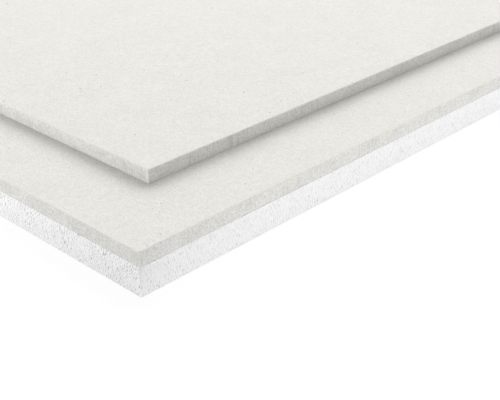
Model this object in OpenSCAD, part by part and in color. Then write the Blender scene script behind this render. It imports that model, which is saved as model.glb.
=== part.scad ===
// Dry-screed floor element: two gypsum fibre boards on a layer of rigid foam insulation.
//
// The boards are the same size and are glued together with an offset, so the element has a
// stepped rebate all round: on two sides the lower board stands out as a ledge, and on the
// other two the upper board stands out as a lap that rests on the next element's ledge.
// The insulation is glued under the lower board and is flush with it on every side.
//
// The element lies flat. +X runs along its length, +Y across its width and +Z up. The origin is
// the centre of the insulation's underside. The laps are at -X and +Y, the ledges at +X and -Y.

/* [Boards] */
// Length of each board and of the insulation
board_length = 1500; // [600:10:3000]
// Width of each board and of the insulation
board_width = 500; // [300:10:1250]
// Thickness of the upper board
upper_thickness = 10; // [8:0.5:20]
// Thickness of the lower board
lower_thickness = 10; // [8:0.5:20]
// Width of the fine bevel on a board's top edges and upright corners
arris = 0.5; // [0.2:0.1:2]

/* [Stepped rebate] */
// Width of the ledge and of the lap at the ends
end_rebate = 60; // [30:5:100]
// Width of the ledge and of the lap along the sides
side_rebate = 60; // [30:5:100]

/* [Insulation] */
// Thickness of the rigid foam
insulation_thickness = 20; // [10:5:60]

/* [Hidden] */

gypsum_colour = [0.91, 0.90, 0.88];
foam_colour = [0.97, 0.97, 0.97];

// The corner of the lower board and the insulation that is nearest to -X and -Y
base_x = -board_length / 2;
base_y = -board_width / 2;
// Heights of the two glued joints
foam_joint_z = insulation_thickness;
board_joint_z = foam_joint_z + lower_thickness;

// Outline of a sheet seen from above, its four corners bevelled
module sheet_outline(length, width, bevel) {
    polygon([
        [bevel, 0], [length - bevel, 0],
        [length, bevel], [length, width - bevel],
        [length - bevel, width], [bevel, width],
        [0, width - bevel], [0, bevel]
    ]);
}

// Cross-section of a sheet, square at the bottom and bevelled at its two top edges
module sheet_section(span, thickness, bevel) {
    polygon([
        [0, 0], [span, 0],
        [span, thickness - bevel], [span - bevel, thickness],
        [bevel, thickness], [0, thickness - bevel]
    ]);
}

// A sheet from the origin towards +X, +Y and +Z: what its outline, the section across its
// width and the section along its length have in common
module sheet(length, width, thickness, bevel) {
    intersection() {
        linear_extrude(thickness)
            sheet_outline(length, width, bevel);
        rotate([90, 0, 90])
            linear_extrude(length)
                sheet_section(width, thickness, bevel);
        translate([0, width, 0])
            rotate([90, 0, 0])
                linear_extrude(width)
                    sheet_section(length, thickness, bevel);
    }
}

module upper_board() {
    color(gypsum_colour)
        translate([base_x - end_rebate, base_y + side_rebate, board_joint_z])
            sheet(board_length, board_width, upper_thickness, arris);
}

module lower_board() {
    color(gypsum_colour)
        translate([base_x, base_y, foam_joint_z])
            sheet(board_length, board_width, lower_thickness, arris);
}

module insulation() {
    color(foam_colour)
        translate([base_x, base_y, 0])
            cube([board_length, board_width, insulation_thickness]);
}

upper_board();
lower_board();
insulation();
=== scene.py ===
"""Looks of a gypsum fibre floor board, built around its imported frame.

The three CAD slabs are replaced by meshes of the same size with the edges of the real ones:
sawn and crumbled on the two boards, cut through the beads on the foam.
"""

import math

import bmesh
import bpy
import numpy as np
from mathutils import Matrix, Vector, geometry, noise


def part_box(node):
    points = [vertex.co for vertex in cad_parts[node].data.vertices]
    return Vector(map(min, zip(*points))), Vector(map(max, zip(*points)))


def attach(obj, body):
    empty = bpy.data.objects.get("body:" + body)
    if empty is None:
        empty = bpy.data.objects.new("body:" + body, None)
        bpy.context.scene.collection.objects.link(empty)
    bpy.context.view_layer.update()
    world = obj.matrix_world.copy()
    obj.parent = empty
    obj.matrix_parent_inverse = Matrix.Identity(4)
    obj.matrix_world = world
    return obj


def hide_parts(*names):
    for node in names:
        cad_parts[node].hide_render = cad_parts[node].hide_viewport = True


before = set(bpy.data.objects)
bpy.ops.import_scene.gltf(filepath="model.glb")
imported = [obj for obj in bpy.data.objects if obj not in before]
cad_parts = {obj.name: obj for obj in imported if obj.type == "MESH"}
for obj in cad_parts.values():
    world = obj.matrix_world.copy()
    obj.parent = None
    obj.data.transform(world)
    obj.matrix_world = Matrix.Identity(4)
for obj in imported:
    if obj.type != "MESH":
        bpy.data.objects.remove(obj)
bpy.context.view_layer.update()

MM = 0.001


# --- Slab meshes -----------------------------------------------------------------------------

FINE_STEP = 0.55 * MM  # between columns at the near corner, which the camera looks at
COARSE_STEP = 2.2 * MM  # and away from it
FINE_REACH = 0.45  # the distance over which the step grows
CORNER_RADIUS = 0.5 * MM  # of the four upright corners
CORNER_STEPS = 3
BAND = 1.6 * MM  # flat rim of each face that the arris may eat into
ARC = 1 - math.sqrt(0.5)  # inset and drop of an arris's middle, as a share of its radius
ROUNDING = ((1.0, 0.0), (ARC, ARC), (0.0, 1.0))  # inset and drop across an arris

CAP_RIMS = ((3.5 * MM, 3 * MM), (8 * MM, 6 * MM), (18 * MM, 14 * MM))  # inset and spacing
CAP_START = 42 * MM  # inset of the first of a flat face's widely spaced rims
CAP_SPACING = 30 * MM  # between those rims, and between their points
TRIANGLES_INSIDE = 1  # what the triangulation returns
TOUCHING = 1e-7  # points of a rim no further apart than this are one
WELD_REACH = 1e-3 * MM

# Paler arrises and upright corners: partly wear, partly a painted highlight line along them
ARRIS_WEAR_AND_HIGHLIGHT = 1.0
CORNER_WEAR_AND_HIGHLIGHT = 1.6  # of the upright corners
FACE_SLOT = 0
EDGE_SLOT = 1

MAP_GAP = 0.008  # between the islands of the texture map
MAP_STRIP = 0.5  # metres of edge in one strip of it
MAP_SCALE = 1.94  # map widths per metre of edge


def graded(length):
    """Distances from 0 to length, set closer together at the start."""
    marks = [0.0]
    while marks[-1] < length:
        share = min(1.0, marks[-1] / FINE_REACH)
        marks.append(marks[-1] + FINE_STEP + (COARSE_STEP - FINE_STEP) * share)
    return np.array(marks) * length / marks[-1]


def perimeter(low, high):
    """Points round the slab's outline, anticlockwise from the near corner (highest x, lowest y),
    and their outward normals. The two sides that meet at the near corner are graded from it."""
    r = CORNER_RADIUS
    left, right, front, back = low.x + r, high.x - r, low.y + r, high.y - r
    centres = np.array(((right, front), (right, back), (left, back), (left, front)))
    points, normals = [], []
    for side in range(4):
        start, end = centres[side], centres[(side + 1) % 4]
        length = float(np.linalg.norm(end - start))
        along = (end - start) / length
        out = np.array((along[1], -along[0]))
        marks = np.linspace(0.0, length, round(length / COARSE_STEP) + 1)
        if side == 0:
            marks = graded(length)
        if side == 3:
            marks = length - graded(length)[::-1]
        points += [start + along * mark + out * r for mark in marks]
        normals += [out] * len(marks)
        for part in range(1, CORNER_STEPS):
            turn = math.pi / 2 * part / CORNER_STEPS
            lean = out * math.cos(turn) + along * math.sin(turn)
            points.append(end + lean * r)
            normals.append(lean)
    return np.array(points), np.array(normals)


def profile(low, high, rows, top, bottom):
    """The inset and height of each ring from the top face down the edge to the bottom face. top
    and bottom are the arris radii of every column."""
    rings = [(BAND, high.z)]
    rings += [(top * inset, high.z - top * drop) for inset, drop in ROUNDING]
    for share in np.linspace(0.0, 1.0, rows + 1)[1:-1]:
        rings.append((0.0, (high.z - top) * (1 - share) + (low.z + bottom) * share))
    rings += [(bottom * inset, low.z + bottom * drop) for inset, drop in ROUNDING[::-1]]
    rings.append((BAND, low.z))
    return rings


def ring(outline, normals, inset, height, low, high):
    """The outline moved inwards by inset at the given height."""
    inset = np.broadcast_to(inset, len(outline))[:, None]
    flat = outline - normals * np.minimum(inset, CORNER_RADIUS)
    flat = np.clip(flat, np.array((low.x, low.y)) + inset, np.array((high.x, high.y)) - inset)
    return np.column_stack((flat, np.broadcast_to(height, len(outline))))


def rim(low, high, inset, spacing):
    """Points round a rectangle, inset from the slab's outline."""
    left, right, front, back = low.x + inset, high.x - inset, low.y + inset, high.y - inset
    xs = np.linspace(left, right, round((right - left) / spacing) + 1)
    ys = np.linspace(front, back, round((back - front) / spacing) + 1)[1:-1]
    return [(x, y) for x in xs for y in (front, back)] + [(x, y) for x in (left, right) for y in ys]


def cap(edge, low, high):
    """Triangles that fill a flat face inside its rim, growing from the rim to the middle."""
    steps = np.abs(edge - np.roll(edge, 1, axis=0)).max(axis=1)
    border = edge[steps > TOUCHING]
    inner = []
    for inset, spacing in CAP_RIMS:
        inner += rim(low, high, inset, spacing)
    for inset in np.arange(CAP_START, (high.y - low.y) / 2, CAP_SPACING):
        inner += rim(low, high, inset, CAP_SPACING)
    flat = [Vector(point) for point in border] + [Vector(point) for point in inner]
    sides = [(i, (i + 1) % len(border)) for i in range(len(border))]
    found = geometry.delaunay_2d_cdt(flat, sides, [], TRIANGLES_INSIDE, TOUCHING)
    points, triangles = found[0], found[2]
    return np.array([tuple(point) for point in points]), np.array([tuple(t) for t in triangles])


def edge_quads(rings, columns):
    """The rings and the columns of the four points of each of the edge's quads. The column after
    the last one is the first one again."""
    number, column = np.divmod(np.arange((rings - 1) * columns), columns)
    return number[:, None] + np.array((0, 1, 1, 0)), column[:, None] + np.array((0, 0, 1, 1))


def edge_map(outline, shape, rings_at, columns_at):
    """Texture places of the edge's quads, and how much of the map's height they take. The edge is
    cut into strips that lie above each other."""
    steps = np.linalg.norm(outline - np.roll(outline, -1, axis=0), axis=1)
    lengths = np.concatenate(((0.0,), np.cumsum(steps)))
    heights = np.array([float(np.mean(height)) for _, height in shape])
    heights -= heights[-1]
    middles = (lengths[columns_at[:, 0]] + lengths[columns_at[:, 2]]) / 2
    strip = np.floor(middles / MAP_STRIP)[:, None]
    strip_height = heights[0] * MAP_SCALE + MAP_GAP
    across = (lengths[columns_at] - strip * MAP_STRIP) * MAP_SCALE + MAP_GAP
    up = heights[rings_at] * MAP_SCALE + strip * strip_height + MAP_GAP
    strips = math.floor(lengths[-1] / MAP_STRIP) + 1
    return np.stack((across, up), axis=-1), strip_height * strips


def face_scale(low, high, used):
    """Map widths per metre for the two flat faces, which lie above the used part of the map."""
    across = (1 - 2 * MAP_GAP) / (high.x - low.x)
    up = (1 - used - 4 * MAP_GAP) / 2 / (high.y - low.y)
    return min(across, up)


def face_map(points, low, scale, base):
    """Texture places of points on a flat face, whose island starts at the height base."""
    return (points[..., :2] - (low.x, low.y)) * scale + (MAP_GAP, base)


def edge_marks(normals, rings, extra):
    """For every point, which way the edge faces there and how much wear and painted highlight it
    takes, flattened: arrises and upright corners are painted paler, partly as wear and partly as a
    highlight line. The flat faces have neither, apart from that of the corners, which reaches their
    rims. Their extra points come after those of the rings."""
    outward = np.zeros((rings, len(normals), 3))
    outward[1:-1, :, :2] = normals
    wear_and_highlight = np.zeros((rings, len(normals)))
    wear_and_highlight[1:len(ROUNDING) + 1] = ARRIS_WEAR_AND_HIGHLIGHT
    wear_and_highlight[-len(ROUNDING) - 1:-1] = ARRIS_WEAR_AND_HIGHLIGHT
    wear_and_highlight[:, (normals != 0).all(axis=1)] = CORNER_WEAR_AND_HIGHLIGHT
    outward = np.concatenate((outward.ravel(), np.zeros(3 * extra)))
    wear_and_highlight = np.concatenate((wear_and_highlight.ravel(), np.zeros(extra)))
    return outward, wear_and_highlight


def weld(mesh):
    """Joins the faces to the edges, where they repeat the same points."""
    form = bmesh.new()
    form.from_mesh(mesh)
    bmesh.ops.remove_doubles(form, verts=form.verts, dist=WELD_REACH)
    form.to_mesh(mesh)
    form.free()


def make_piece(name, points, faces, slots, places, outward, wear_and_highlight):
    """A slab's object, with its texture map and the marks on its points."""
    mesh = bpy.data.meshes.new(name)
    mesh.from_pydata(points.tolist(), [], faces)
    mesh.polygons.foreach_set("material_index", slots)
    mesh.uv_layers.new(name="OFBake").uv.foreach_set("vector", places.ravel())
    mesh.attributes.new("outward", "FLOAT_VECTOR", "POINT").data.foreach_set("vector", outward)
    mesh.attributes.new("wear_and_highlight", "FLOAT", "POINT").data.foreach_set("value", wear_and_highlight)
    weld(mesh)
    piece = bpy.data.objects.new(name, mesh)
    bpy.context.collection.objects.link(piece)
    return piece


def slab(name, node, rows, arris):
    """A slab in place of its CAD node: flat faces and closely divided edges. Its points carry their
    wear and painted highlight and which way the edge faces, for relief() and the materials."""
    low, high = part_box(node)
    outline, normals = perimeter(low, high)
    shape = profile(low, high, rows, arris(outline, high.z), arris(outline, low.z))
    rings = [ring(outline, normals, inset, height, low, high) for inset, height in shape]
    points = np.vstack(rings)
    rings_at, columns_at = edge_quads(len(rings), len(outline))
    quads = rings_at * len(outline) + columns_at % len(outline)

    places, used = edge_map(outline, shape, rings_at, columns_at)
    scale = face_scale(low, high, used)
    lower_base = used + 2 * MAP_GAP
    upper_base = lower_base + (high.y - low.y) * scale + MAP_GAP

    # each flat face: its band of quads, its inner rim, its height, its island, its winding
    top = (0, rings[0], high.z, upper_base, 1)
    bottom = (len(rings) - 2, rings[-1], low.z, lower_base, -1)
    slots = np.full(len(quads), EDGE_SLOT)
    cap_faces, cap_places = [], []
    for band, edge, height, base, winding in (top, bottom):
        in_band = rings_at[:, 0] == band
        slots[in_band] = FACE_SLOT
        places[in_band] = face_map(points[quads[in_band]], low, scale, base)
        flat, triangles = cap(edge[:, :2], low, high)
        triangles = triangles[:, ::winding]
        cap_faces += (triangles + len(points)).tolist()
        cap_places.append(face_map(flat[triangles], low, scale, base).reshape(-1, 2))
        points = np.vstack((points, np.column_stack((flat, np.full(len(flat), height)))))

    faces = quads.tolist() + cap_faces
    slots = slots.tolist() + [FACE_SLOT] * len(cap_faces)
    places = np.vstack([places.reshape(-1, 2)] + cap_places)
    extra = len(points) - len(rings) * len(outline)
    outward, wear_and_highlight = edge_marks(normals, len(rings), extra)
    return make_piece(name, points, faces, slots, places, outward, wear_and_highlight)


WAVER_LENGTH = 5 * MM  # of an arris's long waves
TREMOR_LENGTH = 1.7 * MM  # and of the short ones on them
TREMOR_SHARE = 0.6  # of the long waves' height
WAVER_SHARE = 0.5  # of the arris's radius
CHIP_LENGTH = 11 * MM
CHIP_OFFSET = Vector((7, 0, 0))  # keeps the chips apart from the waves' pattern
CHIP_START = 0.22  # the noise above which a chip begins
CHIP_RISE = 0.4  # and how far above that it is whole
LEAST_ARRIS = 0.3  # of its usual radius
LEAST_RIM = 0.5 * MM  # what the deepest chip leaves of the band


def crumbled(size, chip):
    """An arris for a brittle board: its radius wavers about size, with chips here and there."""

    def radii(outline, height):
        found = []
        for x, y in outline:
            place = Vector((x, y, height))
            waver = noise.noise(place / WAVER_LENGTH)
            waver += TREMOR_SHARE * noise.noise(place / TREMOR_LENGTH)
            spall = noise.noise(place / CHIP_LENGTH + CHIP_OFFSET) - CHIP_START
            spall = min(1.0, max(0.0, spall) / CHIP_RISE)
            found.append(size * (1 + WAVER_SHARE * waver) + chip * spall)
        return np.clip(np.array(found), LEAST_ARRIS * size, BAND - LEAST_RIM)

    return radii


def clean_cut(size):
    """An arris left sharp by a hot wire."""
    return lambda outline, height: np.full(len(outline), size)


def relief(piece, pattern):
    """Pushes the edge in by the pattern's depth, and keeps each point's place before that in the
    attribute uncut, where the material finds the same pattern."""
    tree = bpy.data.node_groups.new(piece.name + "_relief", "GeometryNodeTree")
    tree.interface.new_socket("Geometry", in_out="INPUT", socket_type="NodeSocketGeometry")
    tree.interface.new_socket("Geometry", in_out="OUTPUT", socket_type="NodeSocketGeometry")
    source = add(tree, "NodeGroupInput")
    sink = add(tree, "NodeGroupOutput")
    place = add(tree, "GeometryNodeInputPosition").outputs[0]
    keep = add(tree, "GeometryNodeStoreNamedAttribute", data_type="FLOAT_VECTOR", domain="POINT",
               Geometry=source.outputs[0], Name="uncut", Value=place)
    outward = add(tree, "GeometryNodeInputNamedAttribute", data_type="FLOAT_VECTOR", Name="outward")
    uncut = add(tree, "GeometryNodeInputNamedAttribute", data_type="FLOAT_VECTOR", Name="uncut")
    depth = pattern(tree, uncut.outputs["Attribute"])["depth"]
    inward = maths(tree, "MULTIPLY", depth, -1.0)
    push = vector(tree, "SCALE", outward.outputs["Attribute"], Scale=inward)
    moved = add(tree, "GeometryNodeSetPosition", Geometry=keep.outputs[0], Offset=push)
    tree.links.new(moved.outputs[0], sink.inputs[0])
    modifier = piece.modifiers.new("relief", "NODES")
    modifier.node_group = tree
    graph = bpy.context.evaluated_depsgraph_get()
    shaped = bpy.data.meshes.new_from_object(piece.evaluated_get(graph))
    piece.modifiers.clear()
    piece.data = shaped


# --- Node helpers ----------------------------------------------------------------------------


def feed(tree, socket, value):
    """Sets an input, or links it if the value is another node's output."""
    if isinstance(value, bpy.types.NodeSocket):
        tree.links.new(value, socket)
    else:
        socket.default_value = value


def add(tree, kind, **given):
    """A node. given are its properties, and its inputs by name as values or sockets to link."""
    node = tree.nodes.new(kind)
    inputs = {}
    for name, value in given.items():
        if hasattr(node, name):
            setattr(node, name, value)
        else:
            inputs[name.replace("_", " ")] = value
    for name, value in inputs.items():
        feed(tree, next(s for s in node.inputs if s.name == name and s.enabled), value)
    return node


def plug(tree, node, *values):
    """The first output of a node, whose inputs are filled in order."""
    for socket, value in zip(node.inputs, values):
        feed(tree, socket, value)
    return node.outputs[0]


def maths(tree, operation, *values):
    return plug(tree, add(tree, "ShaderNodeMath", operation=operation), *values)


def vector(tree, operation, *values, **given):
    return plug(tree, add(tree, "ShaderNodeVectorMath", operation=operation, **given), *values)


def compose(tree, x=0.0, y=0.0):
    """A level vector from its parts."""
    return plug(tree, add(tree, "ShaderNodeCombineXYZ"), x, y)


def split(tree, value):
    """The three parts of a vector or a colour."""
    return add(tree, "ShaderNodeSeparateXYZ", Vector=value).outputs


def weighted(tree, *parts, base=0.0):
    """The sum of the base and of parts, each given with its weight."""
    total = base
    for part, weight in parts:
        total = maths(tree, "MULTIPLY_ADD", part, weight, total)
    return total


def grain(tree, place, scale, detail=2.0):
    """Noise around 0.5, with about scale waves to the metre."""
    return add(tree, "ShaderNodeTexNoise", Vector=place, Scale=scale, Detail=detail).outputs[0]


def grit(tree, place, scale):
    """A random tone for each small grain of a packed bed of grains."""
    cells = add(tree, "ShaderNodeTexVoronoi", Vector=place, Scale=scale)
    return split(tree, cells.outputs["Color"])[0]


def step(tree, value, start, end, low=0.0, high=1.0):
    """Goes smoothly from low to high as value goes from start to end."""
    node = add(tree, "ShaderNodeMapRange", interpolation_type="SMOOTHSTEP")
    return plug(tree, node, value, start, end, low, high)


def blend(tree, share, first, second):
    """A colour between two."""
    node = add(tree, "ShaderNodeMix", data_type="RGBA")
    factor, a, b = node.inputs[0], node.inputs[6], node.inputs[7]
    feed(tree, factor, share)
    feed(tree, a, first)
    feed(tree, b, second)
    return node.outputs[2]


def tint(tree, colour, other, share, strength):
    """The colour, turned towards another by share times strength."""
    return blend(tree, maths(tree, "MULTIPLY", share, strength), colour, other)


def attribute(tree, name, output="Vector"):
    return add(tree, "ShaderNodeAttribute", attribute_name=name).outputs[output]


def rgb(red, green, blue):
    return (red, green, blue, 1.0)


def finish_material(name, look_of):
    """A material whose colour, gloss and bump come from look_of(tree)."""
    material = bpy.data.materials.new(name)
    material.use_nodes = True
    tree = material.node_tree
    shader = tree.nodes["Principled BSDF"]
    look = look_of(tree)
    tree.links.new(look["colour"], shader.inputs["Base Color"])
    tree.links.new(look["roughness"], shader.inputs["Roughness"])
    shader.inputs["Specular IOR Level"].default_value = look["specular"]
    bump = add(tree, "ShaderNodeBump", Strength=1.0, Distance=look["bump"], Height=look["height"])
    tree.links.new(bump.outputs[0], shader.inputs["Normal"])
    return material


# --- Gypsum fibre ----------------------------------------------------------------------------

GYPSUM_PALE = rgb(0.790, 0.781, 0.744)
GYPSUM_DULL = rgb(0.657, 0.648, 0.615)
SAWN_PALE = rgb(0.815, 0.808, 0.775)
SAWN_DULL = rgb(0.642, 0.636, 0.610)
GYPSUM_SPECK = rgb(0.40, 0.37, 0.33)

SMALLEST_SPOT = 0.3  # its radius, as a share of the biggest's
FAINTEST_SPOT = 0.3
SPOT_CORE = 0.5  # of its radius, inside which a spot is even
SAW_WAVES = (620, 620, 45)  # to the metre, across the saw marks and along them
NOISE_MIDDLE = 0.5  # the value that a noise wavers about
FIBRE_BREAKS = 2.3  # patches of fibre to each wave of one
DOT_DEPTH = 0.6  # against the tone's range, as all depths in a bump's height
MARK_DEPTH = 0.3


def spots(tree, place, scale, share, size):
    """Round spots, which stand in only a share of the cells of a loose grid. size is the radius
    of the biggest, as a share of a cell."""
    cells = add(tree, "ShaderNodeTexVoronoi", Vector=place, Scale=scale)
    lot = split(tree, cells.outputs["Color"])
    chosen = maths(tree, "LESS_THAN", lot[0], share)
    least = SMALLEST_SPOT * size
    radius = maths(tree, "MULTIPLY_ADD", lot[1], size - least, least)
    core = maths(tree, "MULTIPLY", radius, SPOT_CORE)
    spot = step(tree, cells.outputs["Distance"], radius, core)
    strength = maths(tree, "MULTIPLY_ADD", lot[2], 1 - FAINTEST_SPOT, FAINTEST_SPOT)
    return maths(tree, "MULTIPLY", maths(tree, "MULTIPLY", spot, chosen), strength)


def fibres(tree, place, scale):
    """Short thin curving lines, which follow a noise's middle value through patches of another."""
    away = maths(tree, "SUBTRACT", grain(tree, place, scale, detail=1.0), NOISE_MIDDLE)
    line = step(tree, maths(tree, "ABSOLUTE", away), start=0.012, end=0.003)
    patch = grain(tree, place, FIBRE_BREAKS * scale, detail=0.0)
    patch = step(tree, patch, start=0.58, end=0.66)
    return maths(tree, "MULTIPLY", line, patch)


def gypsum_face_look(tree):
    """The pressed and sanded face: mottled, with paper fibres and a few dark grains."""
    place = attribute(tree, "uncut")
    tone = weighted(
        tree,
        (grain(tree, place, scale=30), 0.10),
        (grain(tree, place, scale=240), 0.22),
        (grain(tree, place, scale=800), 0.50),
        (grit(tree, place, scale=1300), 0.18),
    )
    threads = fibres(tree, place, scale=150)
    dots = spots(tree, place, scale=150, share=0.48, size=0.17)
    wear_and_highlight = attribute(tree, "wear_and_highlight", "Fac")
    colour = blend(tree, step(tree, tone, start=0.35, end=0.65), GYPSUM_DULL, GYPSUM_PALE)
    colour = tint(tree, colour, GYPSUM_SPECK, threads, strength=0.18)
    colour = tint(tree, colour, GYPSUM_SPECK, dots, strength=0.85)
    # paler towards the arrises and upright corners: partly wear, partly a painted highlight
    colour = tint(tree, colour, GYPSUM_PALE, wear_and_highlight, strength=0.4)
    return {
        "colour": colour,
        "roughness": step(tree, tone, start=0.35, end=0.65, low=0.82, high=0.95),
        "specular": 0.3,
        "height": weighted(tree, (dots, -DOT_DEPTH), base=tone),
        "bump": 0.25 * MM,
    }


def sawn(tree, place):
    """The sawn edge's relief: shallow saw marks in patches, grains torn out, an uneven cut."""
    strokes_at = vector(tree, "MULTIPLY", place, SAW_WAVES)
    marks = step(tree, grain(tree, strokes_at, scale=1.0), start=0.46, end=0.66)
    patch = step(tree, grain(tree, place, scale=36, detail=1.0), start=0.53, end=0.64)
    marks = maths(tree, "MULTIPLY", marks, patch)
    torn = spots(tree, place, scale=420, share=0.22, size=0.42)
    rough = grain(tree, place, scale=560, detail=3.0)
    uneven = grain(tree, place, scale=70)
    depth = weighted(
        tree,
        (marks, 0.06 * MM),
        (torn, 0.35 * MM),
        (rough, 0.18 * MM),
        (uneven, 0.10 * MM),
    )
    return {"depth": depth, "marks": marks, "torn": torn, "rough": rough}


def gypsum_edge_look(tree):
    """The sawn edge: grainier than the face, with saw marks, dark pits and paler arrises, which are
    partly wear and partly a painted highlight.
    """
    place = attribute(tree, "uncut")
    cut = sawn(tree, place)
    tone = weighted(
        tree,
        (grain(tree, place, scale=45), 0.17),
        (grain(tree, place, scale=300), 0.20),
        (cut["rough"], 0.35),
        (grit(tree, place, scale=1200), 0.34),
    )
    wear_and_highlight = attribute(tree, "wear_and_highlight", "Fac")
    colour = blend(tree, step(tree, tone, start=0.335, end=0.72), SAWN_DULL, SAWN_PALE)
    colour = tint(tree, colour, GYPSUM_SPECK, cut["marks"], strength=0.27)
    colour = tint(tree, colour, GYPSUM_SPECK, cut["torn"], strength=0.45)
    # paler on the arrises and upright corners: partly wear, partly a painted highlight
    colour = tint(tree, colour, SAWN_PALE, wear_and_highlight, strength=0.5)
    return {
        "colour": colour,
        "roughness": step(tree, tone, start=0.3, end=0.65, low=0.85, high=0.97),
        "specular": 0.25,
        "height": weighted(tree, (cut["marks"], -MARK_DEPTH), base=tone),
        "bump": 0.45 * MM,
    }


# --- Expanded polystyrene --------------------------------------------------------------------

FOAM_WHITE = rgb(0.94, 0.94, 0.94)
# the grey for the beads' random tone and for the painted shade on the strokes' dark sides
FOAM_TONE_AND_PAINTED_SHADE = rgb(0.52, 0.52, 0.525)
# the colour of the painted shade in the pits and nicks
FOAM_PAINTED_PIT_SHADE = rgb(0.22, 0.22, 0.23)
BEAD = 3.2 * MM
PIT_DRAW = 0.5  # a pit's width as a share of its height
STROKE_DRAW = 0.38  # and a stroke's
STROKE_SCALE = 1100  # strokes to the metre
STROKE_STEP = 0.9 * MM  # from a stroke's dark side of painted shade to its light side
STROKE_LEAN = 0.48  # sideways for each metre of height
NICK_OFFSET = (3.1, 1.7, 0.9)  # keeps the nicks apart from the pits' pattern
NICK_DEPTH = 0.4
# how deep the painted shade in the nicks and in the pits goes
NICK_PAINTED_SHADE = 0.85
PIT_PAINTED_SHADE = 0.8
END_CUT = 0.52  # how strongly the ends are marked with painted shade, against the long sides
END_TONE = 0.32  # the tone that the ends' weaker marks, mostly painted stroke shade, fade to, which leaves the ends evenly greyer


def drawn_out(tree, place, share):
    """A place in a space where marks that are share as wide as they are high come out round."""
    return vector(tree, "MULTIPLY", place, (1.0, 1.0, share))


def beads(tree, place):
    """The foam's fused beads where a hot wire cuts them: slightly domed, with pits between them
    which the wire draws out up and down."""
    cells = add(tree, "ShaderNodeTexVoronoi", Vector=place, Scale=1 / BEAD, Randomness=0.9)
    pit = spots(tree, drawn_out(tree, place, PIT_DRAW), scale=480, share=0.30, size=0.30)
    dome = maths(tree, "POWER", cells.outputs["Distance"], 2.0)
    depth = weighted(tree, (dome, 0.06 * MM), (pit, 0.30 * MM))
    return {"depth": depth, "pit": pit, "tone": split(tree, cells.outputs["Color"])[0]}


def strokes(tree, place, outward):
    """Short upright strokes between the beads, each with painted shade on its dark side and left
    white on its light side. On the long sides the wire has made them lean."""
    out_x, out_y = split(tree, outward)[:2]
    lean = maths(tree, "MULTIPLY", maths(tree, "ABSOLUTE", out_y), -STROKE_LEAN)
    sheared = compose(tree, maths(tree, "MULTIPLY", lean, split(tree, place)[2]))
    drawn = drawn_out(tree, vector(tree, "ADD", place, sheared), STROKE_DRAW)
    aside = vector(tree, "SCALE", compose(tree, out_y, out_x), Scale=STROKE_STEP)
    ridge = grain(tree, drawn, STROKE_SCALE, detail=1.0)
    beside = grain(tree, vector(tree, "ADD", drawn, aside), STROKE_SCALE, detail=1.0)
    return {"place": drawn, "ridge": ridge, "edge": maths(tree, "SUBTRACT", ridge, beside)}


def foam_look(tree):
    """White beads with the fine upright strokes of the hot wire, each with painted shade on one
    side, and with painted shade in their pits and nicks. The long sides are marked more strongly
    with this painted shade than the ends."""
    place = attribute(tree, "uncut")
    outward = attribute(tree, "outward")
    cut = beads(tree, place)
    wire = strokes(tree, place, outward)
    long_side = maths(tree, "ABSOLUTE", split(tree, outward)[1])
    marked = step(tree, long_side, start=0.0, end=1.0, low=END_CUT, high=1.0)

    patch = grain(tree, place, scale=150, detail=1.0)
    patch = step(tree, patch, start=0.38, end=0.62, low=0.62, high=1.0)
    # painted shade on the strokes' dark sides, in patches
    painted_stroke_shade = maths(tree, "MULTIPLY", step(tree, wire["edge"], start=-0.02, end=-0.14), patch)
    cells = grit(tree, wire["place"], scale=1500)
    tone = weighted(tree, (cells, 0.08), (painted_stroke_shade, 0.70), (cut["tone"], 0.03))
    tone = maths(tree, "MULTIPLY_ADD", maths(tree, "SUBTRACT", tone, END_TONE), marked, END_TONE)
    colour = blend(tree, tone, FOAM_WHITE, FOAM_TONE_AND_PAINTED_SHADE)

    # painted shade in the nicks and pits, weaker on the ends
    nicks_at = vector(tree, "ADD", wire["place"], NICK_OFFSET)
    nick = spots(tree, nicks_at, scale=640, share=0.30, size=0.38)
    nick_painted_shade = maths(tree, "MULTIPLY", nick, NICK_PAINTED_SHADE)
    pit_painted_shade = maths(tree, "MULTIPLY", cut["pit"], PIT_PAINTED_SHADE)
    dark = maths(tree, "MAXIMUM", nick_painted_shade, pit_painted_shade)
    return {
        "colour": tint(tree, colour, FOAM_PAINTED_PIT_SHADE, dark, strength=marked),
        "roughness": step(tree, cells, start=0.0, end=1.0, low=0.50, high=0.72),
        "specular": 0.35,
        "height": weighted(tree, (nick, -NICK_DEPTH), base=wire["ridge"]),
        "bump": 0.4 * MM,
    }


# --- Pieces ----------------------------------------------------------------------------------

SHARP_ANGLE = 38  # degrees, from which an edge between faces stays sharp


def place_piece(piece, node, materials):
    """Finishes a piece, attaches it to the root body and hides its CAD node: materials are those of
    its faces and its edges.
    """
    for material in materials:
        piece.data.materials.append(material)
    piece.data.shade_smooth()
    piece.data.set_sharp_from_angle(angle=math.radians(SHARP_ANGLE))
    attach(piece, "root")
    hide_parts(node)


def make_boards():
    """Both boards, which are finished alike."""
    materials = [
        finish_material("gypsum_face", gypsum_face_look),
        finish_material("gypsum_edge", gypsum_edge_look),
    ]
    for node in ("upper_board", "lower_board"):
        arris = crumbled(size=0.34 * MM, chip=0.45 * MM)
        piece = slab("gypsum_" + node, node, rows=15, arris=arris)
        relief(piece, sawn)
        place_piece(piece, node, materials)


def make_insulation():
    """The sheet of foam under them."""
    piece = slab("foam_insulation", "insulation", rows=32, arris=clean_cut(size=0.15 * MM))
    relief(piece, beads)
    foam = finish_material("foam", foam_look)
    place_piece(piece, "insulation", [foam, foam])


# --- Studio ----------------------------------------------------------------------------------

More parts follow.
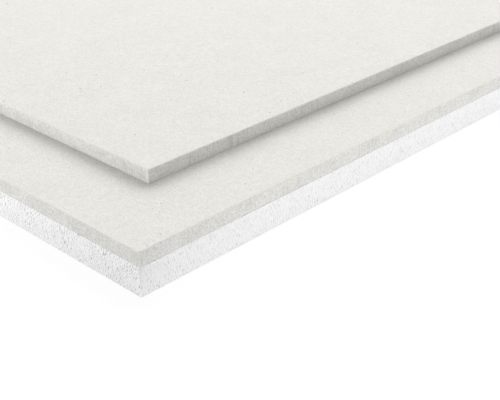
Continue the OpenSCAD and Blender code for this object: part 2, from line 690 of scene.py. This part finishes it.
WHITE = rgb(1, 1, 1)
FLOOR_SIZE = 30.0
FLOOR_DROP = 0.2 * MM  # keeps the floor off the underside
FLOOR_GREY = rgb(0.45, 0.45, 0.45)  # for the light that it throws on the object
FLOOR_GLOW = 0.85  # what the camera sees of it in any light
FLOOR_SHARE = rgb(0.2, 0.2, 0.2)  # and this share of the light and shadow on it


def seen_directly(tree):
    """1 for the rays that show the backdrop to the camera, straight, mirrored or through glass."""
    rays = add(tree, "ShaderNodeLightPath").outputs
    most = maths(tree, "MAXIMUM", rays["Is Camera Ray"], rays["Is Glossy Ray"])
    return maths(tree, "MAXIMUM", most, rays["Is Transmission Ray"])


def mixed_shader(tree, unseen, seen):
    """One shader for the light that reaches the object, and another for what the camera sees."""
    node = add(tree, "ShaderNodeMixShader")
    return plug(tree, node, seen_directly(tree), unseen.outputs[0], seen.outputs[0])


def make_floor():
    """Grey in the light that reaches the object, and nearly white with a faint shadow in view."""
    bpy.ops.mesh.primitive_plane_add(size=FLOOR_SIZE, location=(0, 0, -FLOOR_DROP))
    floor = bpy.context.object
    floor.name = "floor"
    material = bpy.data.materials.new("floor")
    material.use_nodes = True
    tree = material.node_tree
    tree.nodes.remove(tree.nodes["Principled BSDF"])
    grey = add(tree, "ShaderNodeBsdfDiffuse", Color=FLOOR_GREY)
    glow = add(tree, "ShaderNodeEmission", Color=WHITE, Strength=FLOOR_GLOW)
    shadowed = add(tree, "ShaderNodeBsdfDiffuse", Color=FLOOR_SHARE)
    shown = add(tree, "ShaderNodeAddShader")
    plug(tree, shown, glow.outputs[0], shadowed.outputs[0])
    mixed = mixed_shader(tree, grey, shown)
    tree.links.new(mixed, tree.nodes["Material Output"].inputs["Surface"])
    floor.data.materials.append(material)


# Levels say how bright a light alone makes a white surface that faces it, where 1 is white
DOME_LEVEL = 0.46
SOFTBOXES = {  # place, aim, size and level
    "key": ((-3.6, 4.9, 5.0), (0.3, 0.0, 0.03), (13.0, 6.0), 1.56),
    "front": ((0.7, -4.0, 0.25), (0.3, -0.25, 0.03), (2.0, 0.4), 0.375),
    "end": ((5.0, -0.6, 0.30), (0.75, 0.0, 0.03), (2.0, 0.4), 0.085),
}

FILL_LEVEL = 0.27
FILL_AIM = Vector((-0.25, 0.0, 0.02))  # from the foot of the near corner
FILL_GAP = 0.20
FILL_SIZE = (0.20, 0.04)

FRONT_STRIP_LEVEL = 0.09
FRONT_STRIP_LENGTH = 1.7
END_STRIP_LEVEL = 0.19
END_STRIP_LENGTH = 0.8
STRIP_HEIGHT = 0.03
STRIP_GAP = 0.12  # between a side of the object and the strip before it

PANEL_LEVEL = 0.66
PANEL_SIZE = (0.50, 1.0)
PANEL_GAP = 0.1 * MM  # between the foam and the panel
PANEL_LEAD = 0.010  # it starts this far before the near corner


def make_world():
    """A pale dome round the object, and white behind it in view."""
    world = bpy.data.worlds.new("studio")
    bpy.context.scene.world = world
    world.use_nodes = True
    tree = world.node_tree
    dome = tree.nodes["Background"]
    dome.inputs["Color"].default_value = WHITE
    dome.inputs["Strength"].default_value = DOME_LEVEL
    backdrop = add(tree, "ShaderNodeBackground", Color=WHITE, Strength=1.0)
    mixed = mixed_shader(tree, dome, backdrop)
    tree.links.new(mixed, tree.nodes["World Output"].inputs["Surface"])


def make_lamp(name, place, aim, size, energy):
    """A rectangular lamp with a size along its own x and y."""
    data = bpy.data.lights.new(name, "AREA")
    data.shape = "RECTANGLE"
    data.size, data.size_y = size
    data.energy = energy
    lamp = bpy.data.objects.new(name, data)
    lamp.location = place
    lamp.rotation_euler = (Vector(aim) - Vector(place)).to_track_quat("-Z", "Y").to_euler()
    lamp.visible_camera = False
    bpy.context.collection.objects.link(lamp)


def make_softbox(name, place, aim, size, level):
    """A lamp that gives a white surface at aim, facing the lamp, the brightness level."""
    distance = (Vector(aim) - Vector(place)).length
    make_lamp(name, place, aim, size, level * math.pi**2 * distance**2)


def make_strip(name, place, inward, length, level):
    """A strip lamp on the floor, close before a side. From the upper board's edge the ledge hides
    it more and more towards that edge's foot, as it hides a bright floor."""
    energy = level * 2 * math.pi * length * STRIP_GAP
    make_lamp(name, place, place + inward, (length, STRIP_HEIGHT), energy)


def make_panel(corner):
    """A lit panel in the floor before the end in view, which lights it from below."""
    width, length = PANEL_SIZE
    place = corner + Vector((PANEL_GAP + width / 2, length / 2 - PANEL_LEAD, 0.0))
    energy = PANEL_LEVEL * math.pi * width * length
    make_lamp("panel", place, place + Vector((0, 0, 1)), PANEL_SIZE, energy)


def light_studio():
    """A large key from behind and the left, a far lamp for each side in view, and low lamps close
    before them. The low ones start near the corner in view, and the sides brighten away from it."""
    low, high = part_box("lower_board")
    corner = Vector((high.x, low.y, 0.0))
    make_world()
    for name, (place, aim, size, level) in SOFTBOXES.items():
        make_softbox(name, place, aim, size, level)
    spot = corner + FILL_AIM
    make_softbox("fill", spot - Vector((0, FILL_GAP, 0)), spot, FILL_SIZE, FILL_LEVEL)
    place = corner + Vector((-FRONT_STRIP_LENGTH / 2, -STRIP_GAP, STRIP_HEIGHT / 2))
    make_strip("front_strip", place, Vector((0, 1, 0)), FRONT_STRIP_LENGTH, FRONT_STRIP_LEVEL)
    place = corner + Vector((STRIP_GAP, END_STRIP_LENGTH / 2, STRIP_HEIGHT / 2))
    make_strip("end_strip", place, Vector((-1, 0, 0)), END_STRIP_LENGTH, END_STRIP_LEVEL)
    make_panel(corner)


CAMERA_AZIMUTH = 43.69  # degrees, from looking along +Y towards looking along -X
CAMERA_ELEVATION = 27.85
CAMERA_DISTANCE = 0.6258
CAMERA_LENS = 73.2  # mm
CAMERA_NEAR = 0.01
CAMERA_FAR = 100.0
AIM_FROM_CORNER = Vector((0.0014, 0.0888, 0.0))


def make_camera():
    """Looks down at the ledge behind its outer corner."""
    low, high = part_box("lower_board")
    aim = Vector((high.x, low.y, high.z)) + AIM_FROM_CORNER
    turn, rise = math.radians(CAMERA_AZIMUTH), math.radians(CAMERA_ELEVATION)
    level = Vector((math.sin(turn), -math.cos(turn), 0.0))
    back = level * math.cos(rise) + Vector((0.0, 0.0, math.sin(rise)))
    data = bpy.data.cameras.new("camera")
    data.lens = CAMERA_LENS
    data.clip_start = CAMERA_NEAR
    data.clip_end = CAMERA_FAR
    camera = bpy.data.objects.new("camera", data)
    camera.location = aim + back * CAMERA_DISTANCE
    camera.rotation_euler = (-back).to_track_quat("-Z", "Y").to_euler()
    bpy.context.collection.objects.link(camera)
    bpy.context.scene.camera = camera


bpy.context.scene.view_settings.view_transform = "Standard"
make_camera()
make_boards()
make_insulation()
make_floor()
light_studio()
